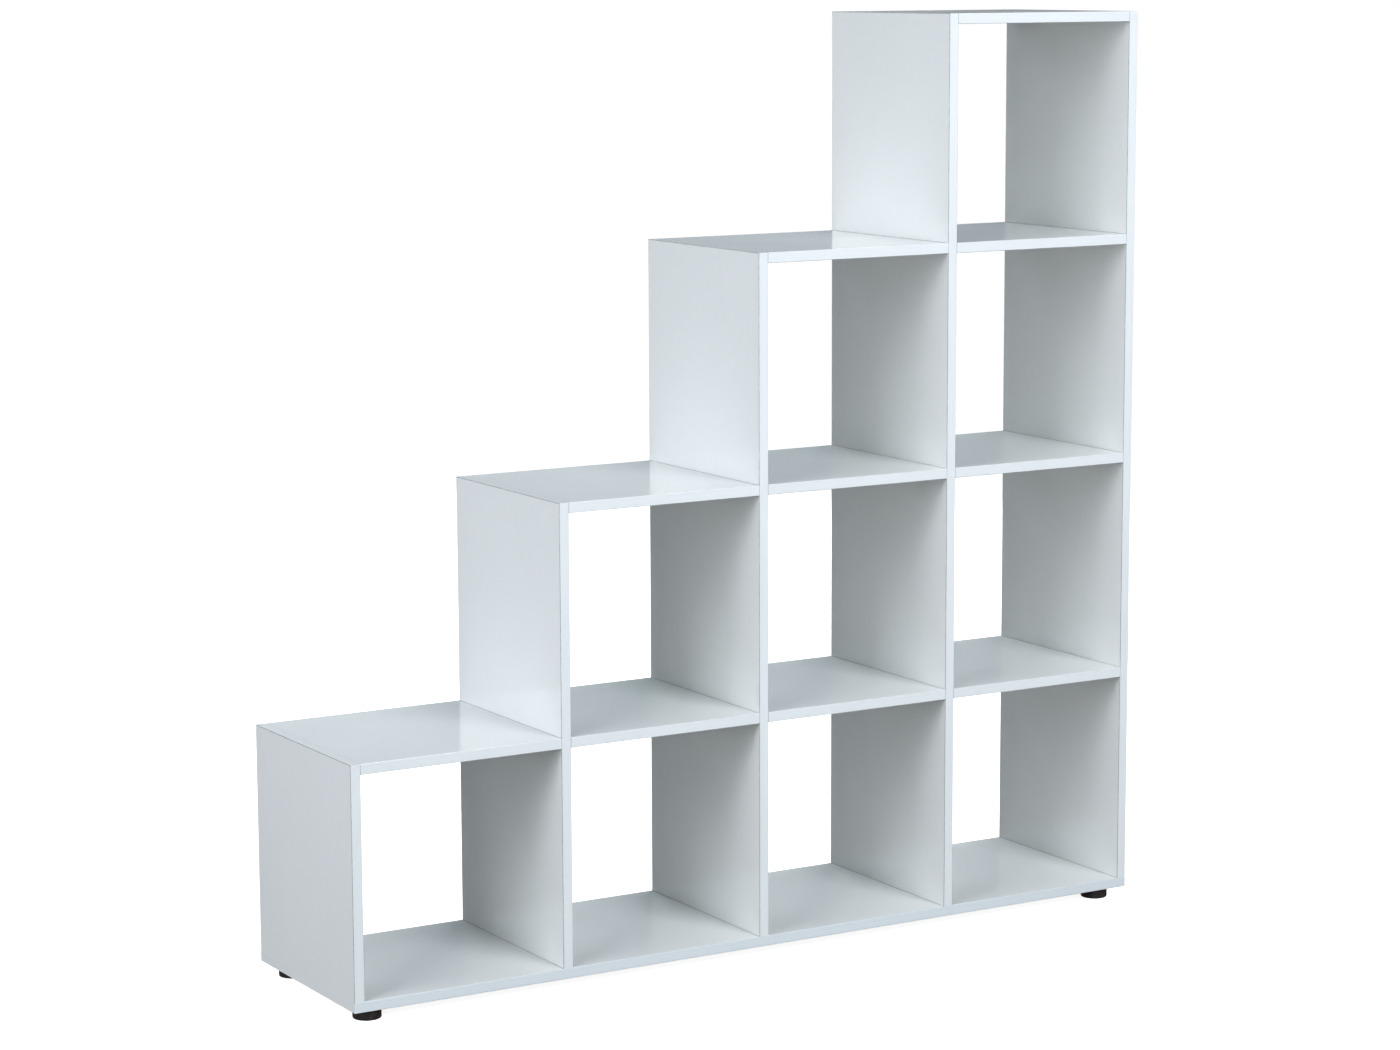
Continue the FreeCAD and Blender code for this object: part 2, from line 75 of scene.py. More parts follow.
class Slope(Enum):
    """How a number runs from one end of a range to the other."""

    SOFT = "SMOOTHSTEP"
    STRAIGHT = "LINEAR"


# Where a board's long bands run, where its end bands run and the way those face, and its thin way
LONG_RUN = {Band.SHELF: Axis.X, Band.UPRIGHT: Axis.Z, Band.BASE: Axis.X}
END_RUN = {Band.UPRIGHT: (Axis.Y, Axis.Z), Band.BASE: (Axis.Y, Axis.X)}
THIN_WAY = {Band.SHELF: Axis.Z, Band.UPRIGHT: Axis.X, Band.BASE: Axis.Z}


@dataclass(frozen=True)
class Span:
    """A range of numbers."""

    start: float
    end: float


RISING = Span(0.0, 1.0)
FALLING = Span(1.0, 0.0)
MIDTONES = Span(0.30, 0.70)  # where most of a soft pattern lies


@dataclass(frozen=True)
class Grain:
    """A soft random pattern: its patches in a metre, its finer layers and how far it is twisted."""

    scale: float
    detail: float = 2.0
    swirl: float = 0.0


class Graph:
    """A tree of shader nodes, drawn from empty."""

    def __init__(self, tree: bpy.types.NodeTree) -> None:
        """Clears the tree.

        Args:
            tree: the tree to draw in.
        """
        self.tree = tree
        self.tree.nodes.clear()

    def add(self, kind: str, **settings: object) -> bpy.types.Node:
        """Adds one node.

        Args:
            kind: Blender's name for the kind of node.
            settings: the node's own properties.

        Returns:
            The new node.
        """
        node = self.tree.nodes.new(kind)
        for name, value in settings.items():
            setattr(node, name, value)
        return node

    def feed(self, socket: Socket, value: Feed) -> None:
        """Links a socket to the one given, or sets it to the number or colour given.

        Args:
            socket: the input to fill.
            value: another node's output, or a plain value.
        """
        if isinstance(value, Socket):
            self.tree.links.new(value, socket)
        elif socket.type == "RGBA":
            socket.default_value = (*value, 1.0)
        else:
            socket.default_value = value

    def between(
        self, value: Feed, span: Span, onto: Span = RISING, slope: Slope = Slope.SOFT
    ) -> Socket:
        """Maps a number from one range onto another.

        Args:
            value: the number to map.
            span: the range that it comes from.
            onto: the range that it goes to.
            slope: how it runs between the ends.

        Returns:
            The mapped number.
        """
        node = self.add("ShaderNodeMapRange", interpolation_type=slope.value)
        numbers = (value, span.start, span.end, onto.start, onto.end)
        for socket, number in zip(node.inputs, numbers):
            self.feed(socket, number)
        return node.outputs["Result"]

    def blend(self, share: Feed, first: Feed, second: Feed) -> Socket:
        """Mixes two colours.

        Args:
            share: how much of the second colour there is.
            first: the first colour.
            second: the second colour.

        Returns:
            The mixed colour.
        """
        node = self.add("ShaderNodeMix", data_type="RGBA")
        self.feed(node.inputs["Factor"], share)
        self.feed(node.inputs[MIX_FIRST], first)
        self.feed(node.inputs[MIX_SECOND], second)
        return node.outputs[MIX_RESULT]

    def part(self, vector: Socket, axis: Axis) -> Socket:
        """Takes one coordinate of a vector.

        Args:
            vector: the vector.
            axis: which coordinate.

        Returns:
            The coordinate.
        """
        node = self.add("ShaderNodeSeparateXYZ")
        self.feed(node.inputs[0], vector)
        return node.outputs[axis.value]


class Sheet(Graph):
    """One finish, drawn as shader nodes around a Principled shader."""

    CORNER: Span = Span(0.45, 0.92)
    CORNER_RAYS: int = 6

    def __init__(self, name: str) -> None:
        """Starts an empty material.

        Args:
            name: the material's name.
        """
        self.material = bpy.data.materials.new(name)
        self.material.use_nodes = True
        super().__init__(self.material.node_tree)
        self.shader = self.add("ShaderNodeBsdfPrincipled")
        end = self.add("ShaderNodeOutputMaterial")
        self.feed(end.inputs["Surface"], self.shader.outputs["BSDF"])

    def set(self, **inputs: Feed) -> None:
        """Fills the shader's own inputs, given by their names with _ for a space."""
        for name, value in inputs.items():
            self.feed(self.shader.inputs[name.replace("_", " ")], value)

    def math(self, operation: str, first: Feed, second: Feed = 0.0) -> Socket:
        """Joins two numbers.

        Args:
            operation: Blender's name for the sum.
            first: the first number.
            second: the second number.

        Returns:
            The result.
        """
        node = self.add("ShaderNodeMath", operation=operation)
        self.feed(node.inputs[0], first)
        self.feed(node.inputs[1], second)
        return node.outputs["Value"]

    def times(self, first: Feed, second: Feed) -> Socket:
        """Multiplies two numbers."""
        return self.math("MULTIPLY", first, second)

    def most(self, first: Feed, second: Feed) -> Socket:
        """Gives the larger of two numbers."""
        return self.math("MAXIMUM", first, second)

    def inverse(self, value: Feed) -> Socket:
        """Gives what a share leaves of one."""
        return self.math("SUBTRACT", 1.0, value)

    def weigh(self, first: Feed, second: Feed, share: float) -> Socket:
        """Adds two patterns, with the first one's share of the sum."""
        return self.math("ADD", self.times(first, share), self.times(second, 1.0 - share))

    def place(self, spread: Point = (1.0, 1.0, 1.0), own: float = 7.0) -> Socket:
        """Gives the point on the piece in metres, shifted by an amount of each piece's own.

        Args:
            spread: how much finer the pattern is along each axis.
            own: the most that one piece's pattern is shifted from another's.

        Returns:
            The point to read a pattern at.
        """
        shift = self.times(self.add("ShaderNodeObjectInfo").outputs["Random"], own)
        moved = self.add("ShaderNodeVectorMath", operation="ADD")
        self.feed(moved.inputs[0], self.spot())
        self.feed(moved.inputs[1], shift)
        scaled = self.add("ShaderNodeVectorMath", operation="MULTIPLY")
        self.feed(scaled.inputs[0], moved.outputs["Vector"])
        self.feed(scaled.inputs[1], spread)
        return scaled.outputs["Vector"]

    def spot(self) -> Socket:
        """Gives the point on the piece in metres."""
        return self.add("ShaderNodeTexCoord").outputs["Object"]

    def length(self, vector: Socket) -> Socket:
        """Measures a vector.

        Args:
            vector: the vector.

        Returns:
            Its length.
        """
        node = self.add("ShaderNodeVectorMath", operation="LENGTH")
        self.feed(node.inputs[0], vector)
        return node.outputs["Value"]

    def tilt(self, axis: Axis) -> Socket:
        """Says how squarely the surface faces along an axis, from -1 to 1."""
        return self.part(self.add("ShaderNodeNewGeometry").outputs["True Normal"], axis)

    def facing(self, axis: Axis) -> Socket:
        """Says how squarely the surface faces along an axis either way, from 0 to 1."""
        return self.math("ABSOLUTE", self.tilt(axis))

    def noise(self, point: Feed, grain: Grain) -> Socket:
        """Reads a soft random pattern.

        Args:
            point: where to read it.
            grain: how fine it is.

        Returns:
            The pattern, about 0.5 on average.
        """
        node = self.add("ShaderNodeTexNoise")
        self.feed(node.inputs["Vector"], point)
        self.feed(node.inputs["Scale"], grain.scale)
        self.feed(node.inputs["Detail"], grain.detail)
        self.feed(node.inputs["Distortion"], grain.swirl)
        return node.outputs["Fac"]

    def cells(self, point: Feed, scale: float) -> bpy.types.Node:
        """Reads a pattern of random cells.

        Args:
            point: where to read it.
            scale: how many cells there are in a metre.

        Returns:
            The pattern, with the distance to each cell's middle and the cell's colour.
        """
        node = self.add("ShaderNodeTexVoronoi")
        self.feed(node.inputs["Vector"], point)
        self.feed(node.inputs["Scale"], scale)
        return node

    def bump(self, height: Feed, rise: float, under: Feed | None = None) -> Socket:
        """Raises the surface by a pattern.

        Args:
            height: the pattern.
            rise: how high it stands, in metres.
            under: another raised pattern that this one lies on.

        Returns:
            The tilted normal.
        """
        node = self.add("ShaderNodeBump")
        self.feed(node.inputs["Height"], height)
        self.feed(node.inputs["Distance"], rise)
        if under is not None:
            self.feed(node.inputs["Normal"], under)
        return node.outputs["Normal"]

    def openness(self, reach: float) -> Socket:
        """Says how much of what is near the surface is open.

        Args:
            reach: how far to look, in metres.

        Returns:
            The open share, from 0 where another piece covers the surface to 1.
        """
        node = self.add("ShaderNodeAmbientOcclusion", samples=self.CORNER_RAYS)
        self.feed(node.inputs["Distance"], reach)
        return node.outputs["AO"]

    def crevice(self, reach: float) -> Socket:
        """Says how deep in a corner or joint the surface is, from 0 in the open to 1."""
        return self.between(self.openness(reach), self.CORNER, FALLING)


@dataclass(frozen=True)
class Finish(ABC):
    """A finish of the record, with its own name."""

    name: str

    @abstractmethod
    def draw(self, sheet: Sheet) -> None:
        """Draws the finish.

        Args:
            sheet: the empty material to draw on.
        """

    def material(self) -> bpy.types.Material:
        """Makes the finish.

        Returns:
            The finish as a material.
        """
        sheet = Sheet(self.name)
        self.draw(sheet)
        return sheet.material


@dataclass(frozen=True)
class MelamineBoard(Finish):
    """White satin melamine on a chipboard core, which is bare in bores and at hidden ends."""

    thin: Axis
    white: Tone = BOARD_WHITE
    white_low: Tone = BOARD_WHITE_LOW
    cloud: Grain = Grain(4.0, 3.0, 0.4)
    mottle: Grain = Grain(85.0)
    cloud_share: float = 0.7
    cloud_span: Span = Span(0.32, 0.68)
    speck_grey: Tone = (0.42, 0.41, 0.39)
    speck_cells: float = 55.0
    speck_span: Span = Span(0.008, 0.022)
    speckless_share: float = 0.80
    speck_depth: float = 0.35
    speck_dull: float = 0.2
    # The seam tone is painted shade in joints and inner corners, partly a dust line in the joint
    joint_line_and_shade_grey: Tone = (0.07, 0.072, 0.07)
    joint_shade_reach: float = 0.9 * MM
    joint_line_and_shade_depth: float = 0.9
    mouth_grey: Tone = (0.62, 0.625, 0.62)
    mouth_span: Span = Span(0.02, 0.10)
    chip_light: Tone = (0.58, 0.42, 0.26)
    chip_dark: Tone = (0.24, 0.15, 0.08)
    chip_cells: float = 420.0
    chip_share: float = 0.7
    fibre: Grain = Grain(1500.0, 3.0)
    fibre_rise: float = 0.25 * MM
    face_span: Span = Span(0.80, 0.90)
    bare_dull: float = 0.7
    wipe: Grain = Grain(6.0, 2.0, 0.6)
    dull: Span = Span(0.115, 0.135)
    pearl: Grain = Grain(900.0, 1.0)
    pearl_rise: float = 2.5 * MICRON
    peel: Grain = Grain(60.0, 1.0)
    peel_rise: float = 2.0 * MICRON
    ior: float = 1.5

    def draw(self, sheet: Sheet) -> None:
        """Draws the faces, their handling marks, the painted joint shade with its dust line and the
        core.

        Args:
            sheet: the empty material to draw on.
        """
        point = sheet.place()
        cloud, mottle = sheet.noise(point, self.cloud), sheet.noise(point, self.mottle)
        shade = sheet.weigh(cloud, mottle, self.cloud_share)
        face = sheet.blend(sheet.between(shade, self.cloud_span), self.white_low, self.white)
        speck = self.specks(sheet, point)
        face = sheet.blend(sheet.times(speck, self.speck_depth), face, self.speck_grey)
        # Painted shade: near-black in joints and inner corners where little around them is open, partly
        # a dust line
        joint_line_and_shade = sheet.times(sheet.crevice(self.joint_shade_reach), self.joint_line_and_shade_depth)
        face = sheet.blend(joint_line_and_shade, face, self.joint_line_and_shade_grey)
        core, fibre = self.core(sheet, point)
        mouth = sheet.between(sheet.openness(self.joint_shade_reach), self.mouth_span)
        core = sheet.blend(sheet.times(joint_line_and_shade, mouth), core, self.mouth_grey)
        bare = sheet.between(sheet.facing(self.thin), self.face_span, FALLING)
        dull = sheet.between(sheet.noise(point, self.wipe), MIDTONES, self.dull)
        dull = sheet.math("ADD", dull, sheet.times(speck, self.speck_dull))
        pearl = sheet.bump(sheet.noise(point, self.pearl), self.pearl_rise)
        peel = sheet.bump(sheet.noise(point, self.peel), self.peel_rise, pearl)
        sheet.set(
            Base_Color=sheet.blend(bare, face, core),
            Roughness=sheet.most(dull, sheet.times(bare, self.bare_dull)),
            Normal=sheet.bump(sheet.times(fibre, bare), self.fibre_rise, peel),
            IOR=self.ior,
        )

    def specks(self, sheet: Sheet, point: Feed) -> Socket:
        """Scatters a few dust specks and pin marks of about a third of a millimetre.

        Args:
            sheet: the material being drawn.
            point: where on the piece it is drawn.

        Returns:
            Where the specks are, from 0 to 1.
        """
        cells = sheet.cells(point, self.speck_cells)
        near = sheet.between(cells.outputs["Distance"], self.speck_span, FALLING)
        lot = sheet.part(cells.outputs["Color"], Axis.X)
        return sheet.times(near, sheet.math("GREATER_THAN", lot, self.speckless_share))

    def core(self, sheet: Sheet, point: Feed) -> tuple[Socket, Socket]:
        """Draws pressed wood chips.

        Args:
            sheet: the material being drawn.
            point: where on the piece it is drawn.

        Returns:
            The chips' colour and their height.
        """
        chip = sheet.part(sheet.cells(point, self.chip_cells).outputs["Color"], Axis.Y)
        fibre = sheet.noise(point, self.fibre)
        share = sheet.weigh(chip, fibre, self.chip_share)
        return sheet.blend(share, self.chip_dark, self.chip_light), fibre


@dataclass(frozen=True)
class EdgeBand(Finish):
    """White plastic band with draw lines along it, painted shade on its arrises and in its joints, and a
    glue line at the board.
    """

    band: Band
    arris: float
    white: Tone = (0.838, 0.864, 0.884)
    white_low: Tone = (0.812, 0.838, 0.858)
    end_white: Tone = BOARD_WHITE
    end_white_low: Tone = BOARD_WHITE_LOW
    end_turn: float = 0.5
    cloud: Grain = Grain(9.0)
    line: Grain = Grain(1.0)
    lines_across: float = 1400.0
    lines_along: float = 6.0
    line_share: float = 0.45
    line_rise: float = 3.0 * MICRON
    # Near-black for the glue line and for the painted shade in the joints beside the arrises
    glue_and_joint_shade: Tone = (0.05, 0.05, 0.048)
    glue_span: Span = Span(0.990, 0.998)
    joint_line_and_shade_depth: float = 0.9
    # Painted shade on the rounded arrises, darker on those that face down
    arris_shade_grey: Tone = (0.20, 0.207, 0.21)
    arris_under_shade_grey: Tone = (0.09, 0.092, 0.095)
    arris_shade: Grain = Grain(140.0, 3.0)
    arris_shade_depth: Span = Span(0.7, 1.0)
    arris_shade_dull: float = 0.45
    turned_span: Span = Span(0.10, 0.40)
    under_span: Span = Span(-0.70, -0.15)
    square_span: Span = Span(0.90, 0.99)
    dull: Span = Span(0.115, 0.140)
    dimple: Grain = Grain(260.0)
    dimple_rise: float = 4.0 * MICRON
    ior: float = 1.5

    def draw(self, sheet: Sheet) -> None:
        """Draws the lines, the painted arris shade, the glue line and the painted joint shade.

        Args:
            sheet: the empty material to draw on.
        """
        point = sheet.place()
        cloud = sheet.noise(point, self.cloud)
        lines = self.lines(sheet, LONG_RUN[self.band])
        face = self.face(sheet, lines, cloud, self.white_low, self.white)
        if self.band in END_RUN:
            run, way = END_RUN[self.band]
            at_end = sheet.math("GREATER_THAN", sheet.facing(way), self.end_turn)
            end_lines = self.lines(sheet, run)
            end_face = self.face(sheet, end_lines, cloud, self.end_white_low, self.end_white)
            face = sheet.blend(at_end, face, end_face)
            lines = sheet.part(sheet.blend(at_end, lines, end_lines), Axis.X)
        lift = sheet.tilt(Axis.Z)
        upward = sheet.between(lift, self.turned_span)
        crevice = sheet.crevice(self.arris)
        glued = sheet.between(sheet.facing(THIN_WAY[self.band]), self.glue_span)
        # The glue line, joined with painted shade in the joints beside the arrises, which is left off
        # upper arrises
        joint_line_and_shade = sheet.most(glued, sheet.times(crevice, sheet.inverse(upward)))
        face = sheet.blend(sheet.times(joint_line_and_shade, self.joint_line_and_shade_depth), face, self.glue_and_joint_shade)
        # The painted arris shade spares upper arrises at the front, at the rear and where another board
        # touches them, so they stay white
        spared = sheet.most(sheet.between(sheet.facing(Axis.Y), self.turned_span), crevice)
        reached = sheet.inverse(sheet.times(upward, spared))
        # Painted arris shade, spread at random along the edge
        arris_shade = sheet.between(sheet.noise(point, self.arris_shade), MIDTONES, self.arris_shade_depth)
        arris_shade = sheet.times(sheet.times(arris_shade, reached), self.rounded(sheet))
        # Arrises that face down get a darker painted shade
        under = sheet.between(lift, self.under_span, FALLING)
        dull = sheet.between(lines, MIDTONES, self.dull)
        fine = sheet.bump(lines, self.line_rise)
        sheet.set(
            Base_Color=sheet.blend(arris_shade, face, sheet.blend(under, self.arris_shade_grey, self.arris_under_shade_grey)),
            Roughness=sheet.math("ADD", dull, sheet.times(arris_shade, self.arris_shade_dull)),
            Normal=sheet.bump(sheet.noise(point, self.dimple), self.dimple_rise, fine),
            IOR=self.ior,
        )

    def lines(self, sheet: Sheet, run: Axis) -> Socket:
        """Draws fine lines along a strip.

        Args:
            sheet: the material being drawn.
            run: the direction that the strip runs in.

        Returns:
            The lines, about 0.5 on average.
        """
        spread = [self.lines_across] * len(Axis)
        spread[run.value] = self.lines_along
        return sheet.noise(sheet.place(tuple(spread)), self.line)

    def face(self, sheet: Sheet, lines: Feed, cloud: Feed, low: Tone, high: Tone) -> Socket:
        """Draws a strip's white, which varies a little with its lines and from place to place.

        Args:
            sheet: the material being drawn.
            lines: the strip's lines.
            cloud: the soft pattern under them.
            low: the darkest white.
            high: the lightest white.

        Returns:
            The white.
        """
        shade = sheet.weigh(lines, cloud, self.line_share)
        return sheet.blend(sheet.between(shade, MIDTONES), low, high)

    def rounded(self, sheet: Sheet) -> Socket:
        """Says where the strip is rounded, from its faces' tilt.

        Args:
            sheet: the material being drawn.

        Returns:
            How round it is, from 0 on a flat face to 1.
        """
        square = sheet.facing(Axis.X)
        for axis in (Axis.Y, Axis.Z):
            square = sheet.most(square, sheet.facing(axis))
        return sheet.between(square, self.square_span, FALLING)


@dataclass(frozen=True)
class MouldedPlastic(Finish):
    """Black-brown moulded plastic with a spark texture, scuffed grey where it slides on the floor."""

    scuff_top: float
    scuff_foot: float = 0.2 * MM
    black: Tone = (0.018, 0.0120, 0.0112)
    black_high: Tone = (0.036, 0.0255, 0.0240)
    cloud: Grain = Grain(120.0, 3.0, 0.5)
    cloud_span: Span = Span(0.35, 0.68)
    scuff: Tone = (0.10, 0.090, 0.085)
    scratch_spread: Point = (400.0, 400.0, 2200.0)
    scratch: Grain = Grain(1.0, 4.0, 0.3)
    scratch_span: Span = Span(0.48, 0.68)
    worn_share: float = 0.4
    dull_span: Span = Span(0.3, 0.9)
    dull: Span = Span(0.34, 0.62)
    spark: Grain = Grain(2600.0)
    spark_rise: float = 0.03 * MM
    ior: float = 1.49

    def draw(self, sheet: Sheet) -> None:
        """Draws the texture, its clouding and the scuffs.

        Args:
            sheet: the empty material to draw on.
        """
        point = sheet.place()
        cloud = sheet.noise(point, self.cloud)
        face = sheet.blend(sheet.between(cloud, self.cloud_span), self.black, self.black_high)
        height = sheet.part(sheet.spot(), Axis.Z)
        low = sheet.between(height, Span(self.scuff_foot, self.scuff_top), FALLING)
        scratch = sheet.noise(sheet.place(self.scratch_spread), self.scratch)
        worn = sheet.times(low, sheet.between(scratch, self.scratch_span))
        dull = sheet.math("ADD", cloud, sheet.times(worn, self.worn_share))
        sheet.set(
            Base_Color=sheet.blend(worn, face, self.scuff),
            Roughness=sheet.between(dull, self.dull_span, self.dull),
            Normal=sheet.bump(sheet.noise(point, self.spark), self.spark_rise),
            IOR=self.ior,
        )


@dataclass(frozen=True)
class CastZinc(Finish):
    """Die-cast zinc with a frosted skin, darkened in its recesses."""

    bright: Tone = (0.56, 0.565, 0.57)
    frosted: Tone = (0.38, 0.385, 0.39)
    frost_cells: float = 1600.0
    frost_share: float = 0.35
    flow: Grain = Grain(260.0, 4.0, 1.5)
    recess_dark: Tone = (0.09, 0.09, 0.088)
    recess_reach: float = 1.2 * MM
    recess_depth: float = 0.8
    dull: Span = Span(0.34, 0.56)
    pit: Grain = Grain(3200.0)
    pit_rise: float = 0.05 * MM

    def draw(self, sheet: Sheet) -> None:
        """Draws the skin, its flow marks and the darkening in its recesses.

        Args:
            sheet: the empty material to draw on.
        """
        point = sheet.place()
        frost = sheet.part(sheet.cells(point, self.frost_cells).outputs["Color"], Axis.X)
        flow = sheet.noise(point, self.flow)
        shade = sheet.weigh(frost, flow, self.frost_share)
        skin = sheet.blend(sheet.between(shade, MIDTONES), self.frosted, self.bright)
        # Darker where the surface lies in a recess
        recess_darkening = sheet.times(sheet.crevice(self.recess_reach), self.recess_depth)
        sheet.set(
            Base_Color=sheet.blend(recess_darkening, skin, self.recess_dark),
            Metallic=1.0,
            Roughness=sheet.between(flow, MIDTONES, self.dull),
            Normal=sheet.bump(sheet.noise(point, self.pit), self.pit_rise),
        )


@dataclass(frozen=True)
class PlatedSteel(Finish):
    """Turned steel with bright zinc plating, faint rainbow passivation and tool lines."""

    blue: Tone = (0.60, 0.635, 0.68)
    straw: Tone = (0.68, 0.655, 0.585)
    tint: Grain = Grain(180.0, 2.0, 0.8)
    tint_span: Span = Span(0.36, 0.64)
    line: Grain = Grain(2400.0, 3.0, 2.0)
    line_rise: float = 0.015 * MM
    recess_dark: Tone = (0.12, 0.115, 0.11)
    recess_reach: float = 0.8 * MM
    recess_depth: float = 0.7
    dull: Span = Span(0.20, 0.38)

    def draw(self, sheet: Sheet) -> None:
        """Draws the tint, the tool lines and dark thread roots.

        Args:
            sheet: the empty material to draw on.
        """
        point = sheet.place()
        tint = sheet.between(sheet.noise(point, self.tint), self.tint_span)
        lines = sheet.noise(point, self.line)
        # Darker where the surface lies in a recess, such as thread roots
        recess_darkening = sheet.times(sheet.crevice(self.recess_reach), self.recess_depth)
        sheet.set(
            Base_Color=sheet.blend(recess_darkening, sheet.blend(tint, self.blue, self.straw), self.recess_dark),
            Metallic=1.0,
            Roughness=sheet.between(lines, MIDTONES, self.dull),
            Normal=sheet.bump(lines, self.line_rise),
        )


@dataclass(frozen=True)
class BeechDowel(Finish):
    """Pale beech with long pores and short darker rays along the dowel."""

    run: Axis
    pale: Tone = (0.66, 0.47, 0.30)
    warm: Tone = (0.52, 0.33, 0.19)
    ray: Tone = (0.30, 0.17, 0.09)
    along: float = 0.06
    growth: Grain = Grain(420.0, 3.0, 0.6)
    pore: Grain = Grain(2600.0)
    pore_rise: float = 0.06 * MM
    rays: Grain = Grain(1300.0, 1.0)
    ray_span: Span = Span(0.62, 0.70)
    ray_depth: float = 0.6
    dull: Span = Span(0.48, 0.68)
    ior: float = 1.5

    def draw(self, sheet: Sheet) -> None:
        """Draws the growth bands, the pores and the rays.

        Args:
            sheet: the empty material to draw on.
        """
        spread = [1.0] * len(Axis)
        spread[self.run.value] = self.along
        point = sheet.place(tuple(spread))
        growth = sheet.between(sheet.noise(point, self.growth), MIDTONES)
        pores = sheet.noise(point, self.pore)
        rays = sheet.between(sheet.noise(point, self.rays), self.ray_span)
        wood = sheet.blend(growth, self.warm, self.pale)
        sheet.set(
            Base_Color=sheet.blend(sheet.times(rays, self.ray_depth), wood, self.ray),
            Roughness=sheet.between(pores, MIDTONES, self.dull),
            Normal=sheet.bump(pores, self.pore_rise),
            IOR=self.ior,
        )


@dataclass
class SubAssembly(ABC):
    """A group of the bookshelf's pieces that are made and finished together."""

    steps: int = 4
    made: dict[str, bpy.types.Object] = field(default_factory=dict, init=False)

    @abstractmethod
    def finishes(self) -> dict[str, Finish]:
        """Gives each piece's finish by the piece's name."""

    def build(self) -> None:
        """Makes the meshes that the frame has no node for."""

    def keep(self, name: str, shape: bmesh.types.BMesh, slot: str) -> None:
        """Makes a piece of a finished shape and fixes it to the bookshelf.

        Args:
            name: the piece's name.
            shape: its shape, in the frame's metres.
            slot: the record's material slot that it belongs to; not used.
        """
        mesh = bpy.data.meshes.new(name)
        shape.to_mesh(mesh)
        shape.free()
        piece = bpy.data.objects.new(name, mesh)
        bpy.context.scene.collection.objects.link(piece)
        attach(piece, "root")
        self.made[name] = piece

    def dress(self) -> None:
        """Puts each piece's finish on it."""
        paints: dict[Finish, bpy.types.Material] = {}
        for name, finish in self.finishes().items():
            if finish not in paints:
                paints[finish] = finish.material()
            if name in self.made:
                self.made[name].data.materials.append(paints[finish])
            else:
                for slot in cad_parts[name].material_slots:
                    slot.material = paints[finish]
            log.info("%s: %s", name, finish.name)


@dataclass
class Carcass(SubAssembly):
    """The base panel, the uprights and the shelves."""

    board: float = 16.0 * MM
    bay_width: float = 326.25 * MM
    bay_height: float = 333.5 * MM
    depth: float = 330.0 * MM
    base_top: float = 35.0 * MM

    def shelf_places(self) -> list[tuple[int, int]]:
        """Gives each shelf's column and row, column by column from the lowest."""
        columns = range(1, self.steps + 1)
        return [(column, row) for column in columns for row in range(1, column + 1)]

    def shelves(self) -> list[str]:
        """Names the shelves, column by column from the lowest."""
        return [f"shelf_col{column}_row{row}" for column, row in self.shelf_places()]

    def uprights(self) -> list[str]:
        """Names the uprights from left to right."""
        return [f"upright_{number}" for number in range(1, self.steps + 2)]

    def bay_left(self, column: int) -> float:
        """Gives the x of the left side of a column's bays."""
        width = self.steps * self.bay_width + (self.steps + 1) * self.board
        return self.board - width / 2 + (column - 1) * (self.bay_width + self.board)

    def shelf_under(self, row: int) -> float:
        """Gives the height of the underside of a row's shelves."""
        return self.base_top + row * self.bay_height + (row - 1) * self.board

    def finishes(self) -> dict[str, Finish]:
        """Chooses the boards' finishes.

        Returns:
            Each board's finish by the board's name.
        """
        upright = MelamineBoard("white_board_upright", Axis.X)
        shelf = MelamineBoard("white_board_shelf", Axis.Z)
        base = MelamineBoard("white_board_base", Axis.Z)
        boards: dict[str, Finish] = {"base_panel": base}
        boards |= {name: upright for name in self.uprights()}
        boards |= {name: shelf for name in self.shelves()}
        return boards


@dataclass
class Edging(SubAssembly):
    """The bands on the boards' edges."""

    carcass: Carcass = field(default_factory=Carcass)
    arris: float = 0.8 * MM
    # Painted shade: the base's bands are darker and bluer than the other bands, as less light reaches
    # them near the floor
    base_shaded_white: Tone = (0.772, 0.816, 0.850)
    base_shaded_white_low: Tone = (0.750, 0.792, 0.826)
    # The base's arrises and joints get a lighter painted shade than the other bands
    base_arris_shade_grey: Tone = (0.60, 0.62, 0.63)
    base_joint_line_and_shade_depth: float = 0.5

    def finishes(self) -> dict[str, Finish]:
        """Chooses the bands' finishes.

        Returns:
            Each board's band finish by the name of its edging.
        """
        shelf = EdgeBand("white_edging_shelf", Band.SHELF, self.arris)
        upright = EdgeBand("white_edging_upright", Band.UPRIGHT, self.arris)
        base = EdgeBand(
            "white_edging_base",
            Band.BASE,
            self.arris,
            white=self.base_shaded_white,
            white_low=self.base_shaded_white_low,
            arris_shade_grey=self.base_arris_shade_grey,
            joint_line_and_shade_depth=self.base_joint_line_and_shade_depth,
        )
        bands: dict[str, Finish] = {"base_panel_edging": base}
        bands |= {f"{name}_edging": upright for name in self.carcass.uprights()}
        bands |= {f"{name}_edging": shelf for name in self.carcass.shelves()}
        return bands


@dataclass
class Feet(SubAssembly):
    """The four glide feet and their screws."""

    height: float = 19.0 * MM
    scuffed_share: float = 0.16

    def finishes(self) -> dict[str, Finish]:
        """Chooses the finishes of the feet and of their screws.

        Returns:
            Each one's finish by its name.
        """
        plastic = MouldedPlastic("black_plastic", self.height * self.scuffed_share)
        feet: dict[str, Finish] = {
            f"foot_{end}_{side}": plastic for end in ("front", "rear") for side in ("left", "right")
        }
        feet["foot_screws"] = PlatedSteel("zinc_plated_steel_feet")
        return feet


